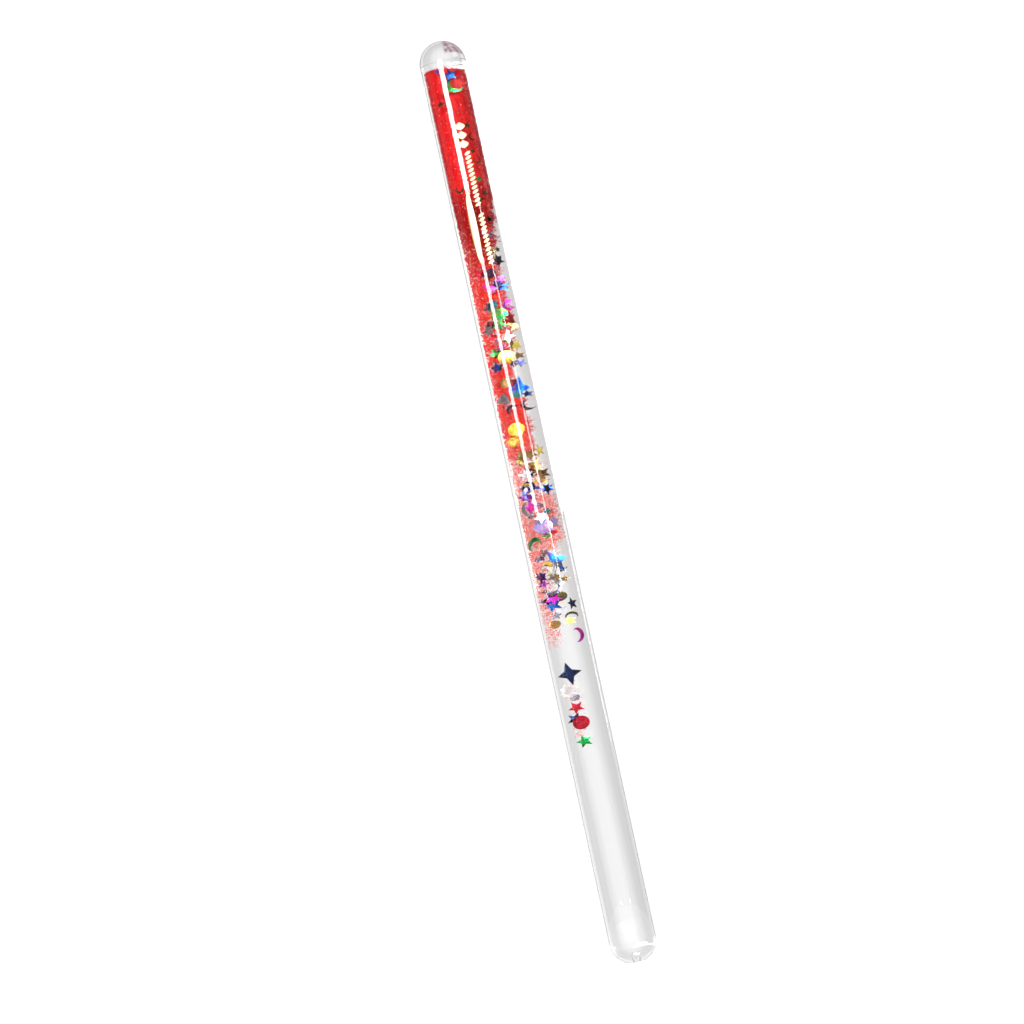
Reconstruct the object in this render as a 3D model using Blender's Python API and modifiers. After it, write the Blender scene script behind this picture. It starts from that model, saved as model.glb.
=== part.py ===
"""Glitter wand of a wand kaleidoscope.

A clear acrylic tube with a closed round bottom, filled with clear liquid, loose glitter and
cut foil pieces. A solid dome plug closes its top and a small pin closes the filling hole in
its bottom. The wand stands on the origin with its axis on +Z. -Y is its front.
"""

import math

import bpy

MM = 0.001

# Driving dimensions, in millimetres
WAND_LENGTH = 305.0
TUBE_RADIUS = 7.6
BORE_RADIUS = 4.6
BORE_FLOOR = 4.5  # thickness of the closed bottom
BORE_CORNER = 1.5  # fillet between the bore and its floor
TIP_FLAT_RADIUS = 2.6  # flat on the end of the round bottom
FILL_HOLE_RADIUS = 1.2
PIN_RECESS = 0.25  # how far the pin's head sits inside the bottom face
PIN_CHAMFER = 0.2
SPIGOT_LENGTH = 1.4  # how far the plug reaches into the bore
SPIGOT_CHAMFER = 0.25
MOUTH_CHAMFER = 0.2
FIT_GAP = 0.3  # between two pieces that touch or seat on each other

# Loose contents, drawn for a bore of this radius and made larger or smaller with the bore
CONTENTS_BORE = 4.6
FOIL_THICKNESS = 0.3
STAR_RADIUS = 2.15
DIAMOND_STAR_WIDTH = 5.8
DIAMOND_STAR_HEIGHT = 7.8
MOON_RADIUS = 2.35
DISC_RADIUS = 2.2
LARGE_DISC_RADIUS = 2.45
HEXAGON_RADIUS = 2.2
HEART_WIDTH = 4.2
LANE_PITCH = 0.8  # in depth, between foils that pass one in front of another
REAR_LANE = 0.4  # the lane furthest back, behind the axis
WALL_LANE_TURN = 58.0  # how far the foils that lie along the bore's sides are turned, in degrees
LIQUID_FRONT = 0.9  # the liquid's solid stays behind this plane where contents float
GLITTER_GROOVE_WIDTH = 5.6
GLITTER_GROOVE_DEPTH = 2.0
CONTENTS_DEPTH = 230.0  # from the plug down to the lowest floating piece
STREAM_OFFSET = 1.15  # how far the middle glitter lies to the left
STREAM_WIDTH = 2.7

# Resolution
TURN_STEPS = 48
PIN_STEPS = 20
DOME_POINTS = 11
CORNER_POINTS = 4
DISC_POINTS = 20
ARC_POINTS = 10
HEART_POINTS = 22

# Levels that follow from the sizes above
PLUG_SEAT = WAND_LENGTH - TUBE_RADIUS
PLUG_END = PLUG_SEAT - SPIGOT_LENGTH
MOUTH = PLUG_SEAT - FIT_GAP
TIP_HEIGHT = math.sqrt(TUBE_RADIUS**2 - TIP_FLAT_RADIUS**2)
FREE_RADIUS = BORE_RADIUS - FIT_GAP
CONTENTS_SCALE = BORE_RADIUS / CONTENTS_BORE

COLOURS = {
    "blue": (0.02, 0.10, 0.62),
    "navy": (0.02, 0.03, 0.16),
    "teal": (0.01, 0.13, 0.17),
    "violet": (0.14, 0.10, 0.60),
    "purple": (0.12, 0.03, 0.20),
    "magenta": (0.62, 0.02, 0.38),
    "red": (0.50, 0.02, 0.06),
    "green": (0.01, 0.36, 0.08),
    "gold": (0.80, 0.56, 0.10),
    "bronze": (0.22, 0.12, 0.05),
    "silver": (0.80, 0.82, 0.85),
    "pearl": (0.90, 0.90, 0.92),
    "black": (0.03, 0.03, 0.04),
}

# Colour, shape, depth below the plug, lane, share of the sideways play, turn in degrees.
# Lanes 0 to 3 run from front to back; "left" and "right" lie along the bore's sides.
FOILS = [
    ("blue", "star", 3.3, 0, 0.6, 10),
    ("green", "moon", 6.8, 2, 0.8, 35),
    ("green", "star", 37.9, "right", 0, 0),
    ("black", "star", 65.8, "right", 0, 20),
    ("red", "star", 69.3, 2, -0.9, 30),
    ("black", "star", 70.3, 0, 0.1, 15),
    ("magenta", "moon", 73.4, 1, 0.1, 80),
    ("blue", "star", 74.4, 3, 0.95, 5),
    ("teal", "star", 80.9, 2, -0.5, 12),
    ("green", "disc", 83.5, 1, 0.2, 0),
    ("green", "star", 87.0, 0, 0, 40),
    ("silver", "star", 88.0, "left", 0, 25),
    ("red", "star", 85.0, "right", 0, 8),
    ("pearl", "star", 91.0, 2, 0.5, 50),
    ("gold", "star", 94.5, "right", 0, 30),
    ("green", "star", 95.6, 3, -0.9, 18),
    ("gold", "disc", 97.6, 0, 0, 0),
    ("violet", "star", 100.1, "left", 0, 0),
    ("blue", "diamond_star", 108.1, 3, 0.9, -8),
    ("silver", "heart", 110.7, "left", 0, 160),
    ("gold", "disc", 121.2, 0, -0.9, 0),
    ("gold", "hexagon", 124.7, 3, -0.9, 10),
    ("gold", "star", 129.2, "right", 0, 12),
    ("bronze", "star", 130.2, 1, 0.3, 33),
    ("bronze", "star", 136.7, 3, 0.9, 22),
    ("silver", "star", 136.2, 0, -0.9, 5),
    ("violet", "moon", 142.2, 2, -0.4, -60),
    ("navy", "star", 142.2, "right", 0, 40),
    ("magenta", "star", 146.7, 3, -0.7, 15),
    ("silver", "moon", 147.2, "left", 0, 10),
    ("silver", "star", 150.7, 0, 0, 28),
    ("violet", "star", 152.7, "right", 0, 3),
    ("violet", "large_disc", 153.7, 1, 0, 0),
    ("green", "moon", 158.7, "left", 0, -70),
    ("blue", "diamond_star", 165.2, 3, 0.7, 20),
    ("gold", "moon", 167.2, 2, -0.5, 200),
    ("pearl", "star", 168.2, 1, 0.1, 45),
    ("purple", "star", 169.7, "left", 0, 16),
    ("magenta", "star", 177.2, 2, -0.5, 36),
    ("blue", "star", 179.2, 3, -0.7, 20),
    ("navy", "star", 179.7, "right", 0, 9),
    ("magenta", "moon", 190.1, "right", 0, 190),
    ("navy", "diamond_star", 201.7, 2, -0.9, 6),
    ("pearl", "disc", 207.0, 3, -0.9, 0),
    ("red", "star", 212.9, 1, -0.7, 27),
    ("navy", "star", 216.4, 2, -0.9, 42),
    ("red", "disc", 217.8, 0, -0.7, 0),
    ("green", "star", 223.8, 1, -0.6, 14),
]

# Depth of the top and bottom of each stretch of glitter below the plug, and its kind
GLITTER = [
    (0.4, 20.0, "bed"),
    (20.4, 40.4, "bed"),
    (40.8, 60.6, "bed"),
    (61.0, 95.6, "stream"),
    (96.0, 130.6, "stream"),
    (131.0, 160.6, "cloud"),
    (161.0, 192.6, "cloud"),
]


def clear_objects():
    for obj in list(bpy.data.objects):
        bpy.data.objects.remove(obj, do_unlink=True)


def make_collection(name):
    collection = bpy.data.collections.new(name)
    bpy.context.scene.collection.children.link(collection)
    return collection


def give_material(obj, colour, roughness, metallic=0.0, alpha=1.0):
    material = bpy.data.materials.new(obj.name)
    material.use_nodes = True
    shader = material.node_tree.nodes["Principled BSDF"]
    shader.inputs["Base Color"].default_value = (*colour, 1.0)
    shader.inputs["Roughness"].default_value = roughness
    shader.inputs["Metallic"].default_value = metallic
    shader.inputs["Alpha"].default_value = alpha
    material.diffuse_color = (*colour, alpha)
    obj.data.materials.append(material)


def arc(centre, radii, start, end, points):
    """Points of a circular or elliptical arc, angles in degrees."""
    steps = [math.radians(start + (end - start) * n / (points - 1)) for n in range(points)]
    return [
        (centre[0] + radii[0] * math.cos(a), centre[1] + radii[1] * math.sin(a)) for a in steps
    ]


def turned(name, profile, collection, steps, closed):
    """A turned solid. The profile of (radius, height) runs down the outer side first."""
    mesh = bpy.data.meshes.new(name)
    count = len(profile)
    edges = [(n, n + 1) for n in range(count - 1)]
    if closed:
        edges.append((count - 1, 0))
    mesh.from_pydata([(r * MM, 0, z * MM) for r, z in profile], edges, [])
    obj = bpy.data.objects.new(name, mesh)
    collection.objects.link(obj)
    screw = obj.modifiers.new("turn", "SCREW")
    screw.steps = steps
    screw.render_steps = steps
    screw.use_merge_vertices = True
    screw.merge_threshold = 0.00001
    screw.use_smooth_shade = True
    return obj


def flat_outline(name, points, thickness, collection):
    """A thin plate standing on edge, its face to the front and its outline in millimetres."""
    curve = bpy.data.curves.new(name, "CURVE")
    curve.dimensions = "2D"
    curve.fill_mode = "BOTH"
    curve.extrude = thickness / 2 * MM
    spline = curve.splines.new("POLY")
    spline.points.add(len(points) - 1)
    for point, (x, y) in zip(spline.points, points):
        point.co = (x * MM, y * MM, 0, 1)
    spline.use_cyclic_u = True
    obj = bpy.data.objects.new(name, curve)
    collection.objects.link(obj)
    obj.rotation_euler = (math.radians(90), 0, 0)
    return obj


def box(name, low, high, collection):
    bpy.ops.mesh.primitive_cube_add(
        size=1, location=[(a + b) / 2 * MM for a, b in zip(low, high)]
    )
    obj = bpy.context.object
    obj.name = name
    obj.data.name = name
    obj.scale = [(b - a) * MM for a, b in zip(low, high)]
    bpy.ops.object.transform_apply(location=False, rotation=False, scale=True)
    for other in obj.users_collection:
        other.objects.unlink(obj)
    collection.objects.link(obj)
    return obj


def cut(obj, cutter):
    cutter.hide_render = True
    cutter.display_type = "WIRE"
    boolean = obj.modifiers.new("cut " + cutter.name, "BOOLEAN")
    boolean.operation = "DIFFERENCE"
    boolean.solver = "EXACT"
    boolean.object = cutter


def make_tube(parts):
    """Outer wall, round bottom with its flat tip, filling hole, bore and open mouth."""
    tip_start = math.degrees(math.asin(TIP_HEIGHT / TUBE_RADIUS))
    profile = [(TUBE_RADIUS, MOUTH)]
    profile += arc((0, TIP_HEIGHT), (TUBE_RADIUS, TUBE_RADIUS), 0, -tip_start, DOME_POINTS)
    profile += [(FILL_HOLE_RADIUS, 0), (FILL_HOLE_RADIUS, BORE_FLOOR)]
    corner = (BORE_RADIUS - BORE_CORNER, BORE_FLOOR + BORE_CORNER)
    profile += arc(corner, (BORE_CORNER, BORE_CORNER), -90, 0, CORNER_POINTS)
    profile += [(BORE_RADIUS, MOUTH - MOUTH_CHAMFER), (BORE_RADIUS + MOUTH_CHAMFER, MOUTH)]
    tube = turned("tube", profile, parts, TURN_STEPS, closed=True)
    give_material(tube, (0.93, 0.95, 0.96), 0.04, alpha=0.25)


def make_top_plug(parts):
    """Solid dome as wide as the tube, with a short spigot that centres it in the bore."""
    spigot = BORE_RADIUS - FIT_GAP
    profile = arc((0, PLUG_SEAT), (TUBE_RADIUS, TUBE_RADIUS), 90, 0, DOME_POINTS)
    profile[0] = (0, WAND_LENGTH)
    profile += [(spigot, PLUG_SEAT), (spigot, PLUG_END + SPIGOT_CHAMFER)]
    profile += [(spigot - SPIGOT_CHAMFER, PLUG_END), (0, PLUG_END)]
    plug = turned("top_plug", profile, parts, TURN_STEPS, closed=False)
    give_material(plug, (0.93, 0.95, 0.96), 0.04, alpha=0.25)


def make_seal_pin(parts):
    """Pin that closes the filling hole, flush with the bore's floor."""
    radius = FILL_HOLE_RADIUS - FIT_GAP
    profile = [(0, BORE_FLOOR), (radius - PIN_CHAMFER, BORE_FLOOR)]
    profile += [(radius, BORE_FLOOR - PIN_CHAMFER), (radius, PIN_RECESS), (0, PIN_RECESS)]
    pin = turned("seal_pin", profile, parts, PIN_STEPS, closed=False)
    give_material(pin, (0.90, 0.92, 0.93), 0.10, alpha=0.4)


def make_liquid(parts, cutters):
    """Liquid column: whole below the contents, and kept behind them further up."""
    low = BORE_FLOOR + FIT_GAP
    high = PLUG_END - FIT_GAP
    corner_radius = BORE_CORNER - FIT_GAP
    corner = (FREE_RADIUS - corner_radius, low + corner_radius)
    profile = [(0, high), (FREE_RADIUS, high)]
    profile += arc(corner, (corner_radius, corner_radius), 0, -90, CORNER_POINTS)
    profile += [(0, low)]
    liquid = turned("clear_liquid", profile, parts, TURN_STEPS, closed=False)
    give_material(liquid, (0.92, 0.95, 0.97), 0.02, alpha=0.2)
    bottom = PLUG_END - CONTENTS_DEPTH * CONTENTS_SCALE
    front = LIQUID_FRONT * CONTENTS_SCALE
    reach = TUBE_RADIUS
    room = box(
        "foil_room_cutter",
        (-reach, -reach, bottom),
        (reach, front, WAND_LENGTH),
        cutters,
    )
    cut(liquid, room)
    groove_half = GLITTER_GROOVE_WIDTH * CONTENTS_SCALE / 2
    groove = box(
        "glitter_groove_cutter",
        (-groove_half, 0, bottom),
        (groove_half, front + GLITTER_GROOVE_DEPTH * CONTENTS_SCALE, WAND_LENGTH),
        cutters,
    )
    cut(liquid, groove)


def make_glitter(parts):
    """Stretches of loose glitter: a bed under the plug, a stream on the left, then clouds."""
    front = LIQUID_FRONT * CONTENTS_SCALE + FIT_GAP
    back = (LIQUID_FRONT + GLITTER_GROOVE_DEPTH) * CONTENTS_SCALE - FIT_GAP
    full = GLITTER_GROOVE_WIDTH * CONTENTS_SCALE / 2 - FIT_GAP
    stream = STREAM_OFFSET * CONTENTS_SCALE
    stream_half = STREAM_WIDTH * CONTENTS_SCALE / 2
    spans = {
        "bed": (-full, full),
        "stream": (-stream - stream_half, -stream + stream_half),
        "cloud": (-full, full / 2),
    }
    for number, (top, bottom, kind) in enumerate(GLITTER, 1):
        left, right = spans[kind]
        low = (left, front, PLUG_END - bottom * CONTENTS_SCALE)
        high = (right, back, PLUG_END - top * CONTENTS_SCALE)
        glitter = box(f"red_glitter_{number}", low, high, parts)
        bevel = glitter.modifiers.new("soft edges", "BEVEL")
        bevel.width = (back - front) / 4 * MM
        bevel.segments = 1
        give_material(glitter, (0.60, 0.02, 0.03), 0.35, metallic=0.3)


def star_outline(radius, tips=5, waist=0.45):
    """A star with its first tip upwards."""
    points = []
    for n in range(2 * tips):
        reach = radius if n % 2 == 0 else radius * waist
        angle = math.radians(90 + 180 * n / tips)
        points.append((reach * math.cos(angle), reach * math.sin(angle)))
    return points


def diamond_star_outline():
    """A four-pointed star, taller than it is wide."""
    points = star_outline(1.0, tips=4, waist=0.36)
    return [(x * DIAMOND_STAR_WIDTH / 2, y * DIAMOND_STAR_HEIGHT / 2) for x, y in points]


def moon_outline(radius):
    """A crescent open to the right: an outer arc, then an inner one back through its horns."""
    horn = 55
    inner_centre = 0.42 * radius
    dx = radius * math.cos(math.radians(horn)) - inner_centre
    dy = radius * math.sin(math.radians(horn))
    inner_radius = math.hypot(dx, dy)
    inner_horn = math.degrees(math.atan2(dy, dx))
    outer = arc((0, 0), (radius, radius), horn, 360 - horn, ARC_POINTS + 2)
    inner = arc(
        (inner_centre, 0), (inner_radius, inner_radius), 360 - inner_horn, inner_horn, ARC_POINTS
    )
    return outer + inner[1:-1]


def heart_outline(width):
    points = []
    for n in range(HEART_POINTS):
        t = 2 * math.pi * n / HEART_POINTS
        x = 16 * math.sin(t) ** 3
        y = 13 * math.cos(t) - 5 * math.cos(2 * t) - 2 * math.cos(3 * t) - math.cos(4 * t)
        points.append((x * width / 32, y * width / 32))
    return points


def round_outline(radius, sides):
    return [
        (radius * math.cos(2 * math.pi * n / sides), radius * math.sin(2 * math.pi * n / sides))
        for n in range(sides)
    ]


def foil_outline(shape, turn):
    """The shape's outline, turned in its own plane and centred on its box."""
    outlines = {
        "star": lambda: star_outline(STAR_RADIUS),
        "diamond_star": diamond_star_outline,
        "moon": lambda: moon_outline(MOON_RADIUS),
        "disc": lambda: round_outline(DISC_RADIUS, DISC_POINTS),
        "large_disc": lambda: round_outline(LARGE_DISC_RADIUS, DISC_POINTS),
        "hexagon": lambda: round_outline(HEXAGON_RADIUS, 6),
        "heart": lambda: heart_outline(HEART_WIDTH),
    }
    a = math.radians(turn)
    s = CONTENTS_SCALE
    points = [
        (s * (x * math.cos(a) - y * math.sin(a)), s * (x * math.sin(a) + y * math.cos(a)))
        for x, y in outlines[shape]()
    ]
    xs = [x for x, _ in points]
    ys = [y for _, y in points]
    middle = ((min(xs) + max(xs)) / 2, (min(ys) + max(ys)) / 2)
    half_width = (max(xs) - min(xs)) / 2
    return [(x - middle[0], y - middle[1]) for x, y in points], half_width


def foil_place(lane, side, half_width):
    """Where a foil's middle lies across the bore, and how far it is turned about the axis."""
    if lane in ("left", "right"):
        distance = math.sqrt(FREE_RADIUS**2 - half_width**2) - FOIL_THICKNESS / 2
        turn = math.radians(WALL_LANE_TURN if lane == "right" else -WALL_LANE_TURN)
        return distance * math.sin(turn), -distance * math.cos(turn), turn
    depth = (REAR_LANE - (3 - lane) * LANE_PITCH) * CONTENTS_SCALE
    furthest = abs(depth) + FOIL_THICKNESS / 2
    play = math.sqrt(FREE_RADIUS**2 - furthest**2) - half_width
    return side * play, depth, 0.0


def make_foils(parts):
    counts = {}
    for colour, shape, depth, lane, side, turn in FOILS:
        kind = f"{colour}_{shape}"
        counts[kind] = counts.get(kind, 0) + 1
        outline, half_width = foil_outline(shape, turn)
        foil = flat_outline(f"{kind}_{counts[kind]}", outline, FOIL_THICKNESS, parts)
        x, y, about_axis = foil_place(lane, side, half_width)
        foil.location = (x * MM, y * MM, (PLUG_END - depth * CONTENTS_SCALE) * MM)
        foil.rotation_euler.z = about_axis
        give_material(foil, COLOURS[colour], 0.2, metallic=0.9)


def main():
    clear_objects()
    parts = make_collection("glitter_wand")
    cutters = make_collection("cutters")
    make_tube(parts)
    make_top_plug(parts)
    make_seal_pin(parts)
    make_liquid(parts, cutters)
    make_glitter(parts)
    make_foils(parts)


main()
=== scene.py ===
import math
import random

import bpy
import numpy as np
from mathutils import Matrix, Vector


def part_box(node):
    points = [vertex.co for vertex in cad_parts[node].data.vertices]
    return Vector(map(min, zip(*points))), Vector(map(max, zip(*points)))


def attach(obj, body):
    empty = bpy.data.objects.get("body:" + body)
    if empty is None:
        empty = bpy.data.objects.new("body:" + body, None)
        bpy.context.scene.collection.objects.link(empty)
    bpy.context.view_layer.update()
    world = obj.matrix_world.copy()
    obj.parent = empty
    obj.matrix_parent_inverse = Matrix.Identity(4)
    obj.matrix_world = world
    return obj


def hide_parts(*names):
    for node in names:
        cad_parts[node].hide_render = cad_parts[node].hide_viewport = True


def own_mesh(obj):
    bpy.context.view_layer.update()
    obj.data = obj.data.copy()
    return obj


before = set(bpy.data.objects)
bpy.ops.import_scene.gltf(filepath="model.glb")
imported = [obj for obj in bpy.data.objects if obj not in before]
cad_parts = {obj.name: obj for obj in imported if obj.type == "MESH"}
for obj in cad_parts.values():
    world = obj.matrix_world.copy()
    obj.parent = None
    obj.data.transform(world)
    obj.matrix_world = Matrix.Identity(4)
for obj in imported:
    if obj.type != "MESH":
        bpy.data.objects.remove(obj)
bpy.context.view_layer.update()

mm = 0.001
liquidBend = 1.008  # acrylic against the liquid
acrylicBend = 1.49
body = "wand"
tubeRadius = 7.6


# a shader socket that can be added, multiplied and compared
class Wire:
    def __init__(self, finish, socket):
        self.finish = finish
        self.socket = socket

    def __add__(self, other):
        return self.finish.maths("ADD", self, other)

    def __radd__(self, other):
        return self.finish.maths("ADD", other, self)

    def __sub__(self, other):
        return self.finish.maths("SUBTRACT", self, other)

    def __rsub__(self, other):
        return self.finish.maths("SUBTRACT", other, self)

    def __mul__(self, other):
        return self.finish.maths("MULTIPLY", self, other)

    def __rmul__(self, other):
        return self.finish.maths("MULTIPLY", other, self)

    def __gt__(self, other):
        return self.finish.maths("GREATER_THAN", self, other)


class Finish:
    def __init__(self, owner):
        # a material's name, or a world that is already there
        self.material = bpy.data.materials.new(owner) if isinstance(owner, str) else owner
        self.material.use_nodes = True
        self.tree = self.material.node_tree
        self.tree.nodes.clear()

    def node(self, kind, settings=None, sockets=None, out=0):
        made = self.tree.nodes.new(kind)
        for key, value in (settings or {}).items():
            if key == "stops":
                for i, (place, colour) in enumerate(value):
                    stops = made.color_ramp.elements
                    stop = stops[i] if i < 2 else stops.new(place)
                    stop.position = place
                    stop.color = (*colour, 1)
            else:
                setattr(made, key, value)
        for key, value in (sockets or {}).items():
            if isinstance(value, Wire):
                self.tree.links.new(value.socket, made.inputs[key])
            else:
                made.inputs[key].default_value = value
        return Wire(self, made.outputs[out]) if made.outputs else None

    def maths(self, operation, a, b):
        return self.node("ShaderNodeMath", {"operation": operation}, {0: a, 1: b})

    def place(self, scale=(1, 1, 1), turn=(0, 0, 0)):
        spot = self.node("ShaderNodeTexCoord", out="Object")
        return self.node("ShaderNodeMapping", {}, {"Vector": spot, "Scale": scale, "Rotation": turn})

    def noise(self, size, detail=3, rough=0.5, stretch=(1, 1, 1), out="Fac"):
        scale = tuple(s / size for s in stretch)
        return self.node("ShaderNodeTexNoise", {}, {
            "Vector": self.place(scale), "Scale": 1.0, "Detail": detail, "Roughness": rough}, out)

    def ramp(self, wire, stops):
        return self.node("ShaderNodeValToRGB", {"stops": stops}, {"Fac": wire}, "Color")

    def span(self, wire, low, high, toLow, toHigh):
        return self.node("ShaderNodeMapRange", {"clamp": True}, {
            "Value": wire, "From Min": low, "From Max": high, "To Min": toLow, "To Max": toHigh})

    def blend(self, share, a, b, kind="MIX"):
        return self.node("ShaderNodeMix", {"data_type": "RGBA", "blend_type": kind}, {
            0: share, 6: a, 7: b}, out=2)

    def bump(self, height, strength, distance, normal=None):
        sockets = {"Height": height, "Strength": strength, "Distance": distance}
        if normal:
            sockets["Normal"] = normal
        return self.node("ShaderNodeBump", {}, sockets)

    def surface(self, **sockets):
        plain = {
            "colour": "Base Color", "rough": "Roughness", "metal": "Metallic", "normal": "Normal",
            "coat": "Coat Weight", "coatRough": "Coat Roughness", "glass": "Transmission Weight",
            "bend": "IOR", "alpha": "Alpha", "shine": "Specular IOR Level",
            "glow": "Emission Color", "glowPower": "Emission Strength"}
        return self.node("ShaderNodeBsdfPrincipled", {}, {
            plain[key]: value for key, value in sockets.items()})

    def done(self, shader):
        self.node("ShaderNodeOutputMaterial", {}, {"Surface": shader})
        return self.material

    def letLampsThrough(self, shader, tint):
        clear = self.node("ShaderNodeBsdfTransparent", {}, {"Color": (*tint, 1)})
        for ray in ("Is Diffuse Ray", "Is Shadow Ray"):
            share = self.node("ShaderNodeLightPath", out=ray)
            shader = self.node("ShaderNodeMixShader", {}, {0: share, 1: shader, 2: clear})
        return shader


def dropSelection():
    if bpy.context.object and bpy.context.object.mode != "OBJECT":
        bpy.ops.object.mode_set(mode="OBJECT")
    for item in bpy.context.selected_objects:
        item.select_set(False)


def pick(obj):
    dropSelection()
    obj.select_set(True)
    bpy.context.view_layer.objects.active = obj


def editMesh(obj):
    pick(obj)
    bpy.ops.object.mode_set(mode="EDIT")
    bpy.ops.mesh.select_all(action="SELECT")


def leaveEdit():
    bpy.ops.object.mode_set(mode="OBJECT")


def selectPoints(obj, test):
    bpy.ops.object.mode_set(mode="OBJECT")
    for edge in obj.data.edges:
        edge.select = False
    for face in obj.data.polygons:
        face.select = False
    for point in obj.data.vertices:
        point.select = bool(test(point.co))
    bpy.ops.object.mode_set(mode="EDIT")


def applyAll(obj):
    pick(obj)
    for modifier in list(obj.modifiers):
        bpy.ops.object.modifier_apply(modifier=modifier.name)


def copyOf(obj, name):
    twin = obj.copy()
    twin.data = obj.data.copy()
    twin.name = name
    twin.data.name = name
    bpy.context.scene.collection.objects.link(twin)
    return twin


def addPiece(obj, name, bodyName, materials, stands=()):
    obj.name = name
    obj.data.name = name
    obj.data.materials.clear()
    for material in materials:
        obj.data.materials.append(material)
    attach(obj, bodyName)
    if stands:
        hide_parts(*stands)
    return obj


def spun(name, profile, steps):
    # one point is drawn out along the profile, then spun round the wand's axis
    dropSelection()
    bpy.ops.mesh.primitive_circle_add(vertices=3, radius=mm, location=(0, 0, 0))
    obj = bpy.context.object
    obj.name = name
    bpy.ops.object.mode_set(mode="EDIT")
    selectPoints(obj, lambda co: co.y < 0.5 * mm)
    bpy.ops.mesh.delete(type="VERT")
    leaveEdit()
    start = Vector((profile[0][0] * mm, 0, profile[0][1] * mm))
    obj.data.vertices[0].co = start
    editMesh(obj)
    for (x0, z0), (x1, z1) in zip(profile, profile[1:]):
        bpy.ops.mesh.extrude_region_move(TRANSFORM_OT_translate={
            "value": ((x1 - x0) * mm, 0, (z1 - z0) * mm)})
    bpy.ops.mesh.select_all(action="SELECT")
    bpy.ops.mesh.spin(steps=steps, angle=2 * math.pi, center=(0, 0, 0), axis=(0, 0, 1))
    bpy.ops.mesh.select_all(action="SELECT")
    bpy.ops.mesh.remove_doubles(threshold=0.004 * mm)
    bpy.ops.mesh.select_all(action="SELECT")
    bpy.ops.mesh.normals_make_consistent(inside=False)
    leaveEdit()
    return obj


def arcPoints(centreX, centreZ, radius, startAngle, endAngle, count):
    points = []
    for n in range(count):
        angle = math.radians(startAngle + (endAngle - startAngle) * n / (count - 1))
        points.append((centreX + radius * math.cos(angle), centreZ + radius * math.sin(angle)))
    return points


def smooth(obj, angle=35):
    pick(obj)
    bpy.ops.object.shade_smooth_by_angle(angle=math.radians(angle))


def setFaces(obj, chooser):
    for face in obj.data.polygons:
        face.material_index = chooser(face.center)


def acrylicFinish(name, bend, tint, scratch):
    f = Finish(name)
    swell = f.noise(9 * mm, 1, 0.4, (1, 1, 0.25))
    scuffs = f.noise(1.4 * mm, 4, 0.6, (3, 3, 0.35))
    rough = f.span(scuffs, 0.62, 0.8, 0.0, scratch)
    normal = f.bump(swell, 0.10, 0.02 * mm)
    shader = f.surface(colour=(*tint, 1), rough=rough, glass=1.0, bend=bend, normal=normal)
    return f.done(f.letLampsThrough(shader, (0.97, 0.97, 0.97)))


def clearFinish(name, tint):
    f = Finish(name)
    return f.done(f.node("ShaderNodeBsdfTransparent", {}, {"Color": (*tint, 1)}))


def redFinish():
    # painted shade and light: the same flakes are coloured deep where packed at the top, as if shaded, brighter
    # in the stream, and pale in the loose clouds, as if lit from behind
    f = Finish("red glitter")
    tone = f.node("ShaderNodeAttribute", {"attribute_name": "tone"}, out="Fac")
    spot = f.node("ShaderNodeTexCoord", out="Object")
    height = f.node("ShaderNodeSeparateXYZ", {}, {0: spot}, "Z")
    packed = f.ramp(tone, redTonesWithPaintedLight["packed"])
    stream = f.ramp(tone, redTonesWithPaintedLight["stream"])
    cloud = f.ramp(tone, redTonesWithPaintedLight["cloud"])
    # painted shade and backlight: going down, the deep packed ramp gives way to the brighter stream ramp, then
    # to the pale cloud ramp
    colour = f.blend(f.span(height, 0.220, 0.244, 1.0, 0.0), packed, stream)
    colour = f.blend(f.span(height, 0.146, 0.180, 1.0, 0.0), colour, cloud)
    patch = f.noise(1.6 * mm, 3, 0.6)
    colour = f.blend(f.span(patch, 0.4, 0.7, 0.0, 0.3), colour, (0.42, 0.003, 0.004, 1))
    grain = f.noise(0.15 * mm, 2, 0.5)
    normal = f.bump(grain, 0.5, 0.02 * mm)
    rough = f.span(tone, 0.0, 1.0, 0.5, 0.3)
    shader = f.surface(colour=colour, rough=rough, shine=0.15, normal=normal)
    return f.done(shader)


# the last, near-white stop of each ramp is a painted glint on a few flakes
redTonesWithPaintedLight = {  # each flake has its own tone from 0 to 1
    "packed": [
        (0.0, (0.36, 0.002, 0.004)),
        (0.55, (0.54, 0.006, 0.007)),
        (0.97, (0.58, 0.008, 0.008)),
        (0.99, (1.0, 0.72, 0.66)),
    ],
    "stream": [
        (0.0, (0.84, 0.006, 0.003)),
        (0.55, (0.96, 0.028, 0.012)),
        (0.96, (0.98, 0.05, 0.025)),
        (0.985, (1.0, 0.62, 0.54)),
    ],
    "cloud": [
        (0.0, (0.62, 0.02, 0.02)),
        (0.4, (0.93, 0.17, 0.12)),
        (0.8, (1.0, 0.40, 0.34)),
        (0.97, (1.0, 0.85, 0.82)),
    ],
}


def foilFinish(name, base, second, rough=0.15):
    f = Finish(name)
    sweep = f.noise((6 if "violet" in name else 2.2) * mm, 1, 0.4)
    colour = f.blend(f.span(sweep, 0.4, 0.62, 0.0, 1.0), (*base, 1), (*second, 1))
    crinkle = f.noise(0.9 * mm, 2, 0.5)
    fine = f.noise(0.16 * mm, 2, 0.5)
    normal = f.bump(crinkle, 0.35, 0.05 * mm)
    normal = f.bump(fine, 0.2, 0.006 * mm, normal)
    shine = f.span(fine, 0.3, 0.7, rough - 0.05, rough + 0.08)
    shader = f.surface(colour=colour, rough=shine, metal=0.95, normal=normal, coat=0.15, coatRough=0.1,
                       alpha=0.35 if "film" in name else 1.0)
    return f.done(shader)


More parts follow.
